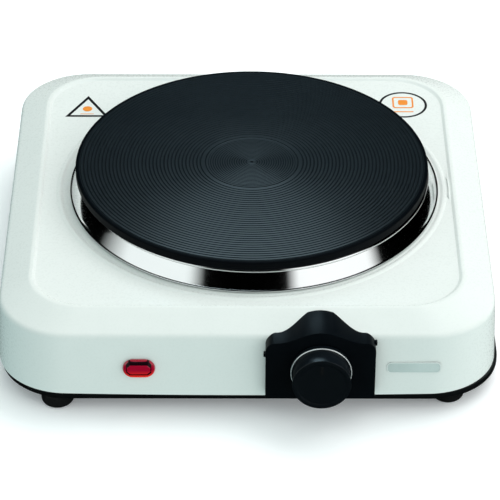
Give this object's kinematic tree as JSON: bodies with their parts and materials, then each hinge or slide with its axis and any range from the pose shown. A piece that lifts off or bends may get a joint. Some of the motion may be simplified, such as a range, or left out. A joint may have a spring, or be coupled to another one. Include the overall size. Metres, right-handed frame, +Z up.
{
  "type": "hot plate burner",
  "caption": "Square white enamelled countertop burner with a round cast-iron hot plate in a chrome ring, a front thermostat knob in a black surround and a red lamp.",
  "frame": {"origin": "centre of the bounding box in X and Y, at the surface that the feet stand on", "axes": "+Z up, -Y towards the front wall with the knob, +X to the right as seen from the front"},
  "size_m": [0.2534, 0.2756, 0.0682],
  "materials": {
    "enamel": "glossy white enamel",
    "black_paint": "satin black paint",
    "cast_iron": "dark heat-proof coating on turned cast iron",
    "chrome": "bright chrome",
    "steel": "zinc-plated and plain steel",
    "brass": "plain brass",
    "ceramic": "unglazed steatite",
    "infill": "rough insulating compound",
    "rubber": "matt black rubber",
    "black_plastic": "satin black phenolic",
    "white_plastic": "off-white moulding",
    "red_lens": "clear red lamp lens",
    "glass": "clear glass bulb",
    "grey_label": "grey printed plate",
    "live_sleeve": "brown sleeving",
    "neutral_sleeve": "blue sleeving",
    "earth_sleeve": "green sleeving"
  },
  "bodies": {
    "chassis": {"badge": "grey_label", "base_tray": "black_paint", "bezel": "black_plastic", "bimetal_blade": "brass", "bush_nut": "brass", "centre_stud": "steel", "ceramic_infill": "infill", "clamp_bar": "steel", "contact_blade": "brass", "cord_gland": "black_plastic", "corner_bracket_1": "steel", "corner_bracket_2": "steel", "corner_bracket_3": "steel", "corner_bracket_4": "steel", "earth_screw": "brass", "earth_wire": "earth_sleeve", "foot_1": "rubber", "foot_2": "rubber", "foot_3": "rubber", "foot_4": "rubber", "foot_screw_1": "steel", "foot_screw_2": "steel", "foot_screw_3": "steel", "foot_screw_4": "steel", "gland_nut": "black_plastic", "heating_coil": "steel", "hotplate": "cast_iron", "housing": "enamel", "lamp_body": "white_plastic", "lamp_clip": "steel", "lamp_lead_1": "live_sleeve", "lamp_lead_2": "neutral_sleeve", "lamp_lens": "red_lens", "live_wire": "live_sleeve", "neon_bulb": "glass", "neutral_wire": "neutral_sleeve", "plate_terminal": "ceramic", "spill_ring": "chrome", "spindle_bush": "brass", "stack_screw": "steel", "stack_spacer_1": "ceramic", "stack_spacer_2": "ceramic", "stack_spacer_3": "ceramic", "stud_nut": "steel", "stud_washer": "steel", "switched_wire": "live_sleeve", "terminal_block": "white_plastic", "terminal_block_screw": "steel", "terminal_pin_1": "brass", "terminal_pin_2": "brass", "thermostat_bracket": "steel", "under_cover": "steel"},
    "control": {"knob": "black_plastic", "spindle": "brass"},
    "pin_carrier": {"adjusting_pin": "ceramic"}
  },
  "joints": [
    {"name": "knob_turn", "type": "hinge", "parent": "chassis", "child": "control", "pos_m": [0.0357, -0.1315, 0.0322], "axis": [0, 1, 0], "range_deg": [0, 270]},
    {"name": "adjusting_slide", "type": "slide", "parent": "chassis", "child": "pin_carrier", "axis": [0, 1, 0], "range_m": [0, 0.00075]}
  ],
  "couplings": [
    {"joint": "adjusting_slide", "follows": "knob_turn", "m_per_rad": 0.00015915}
  ]
}
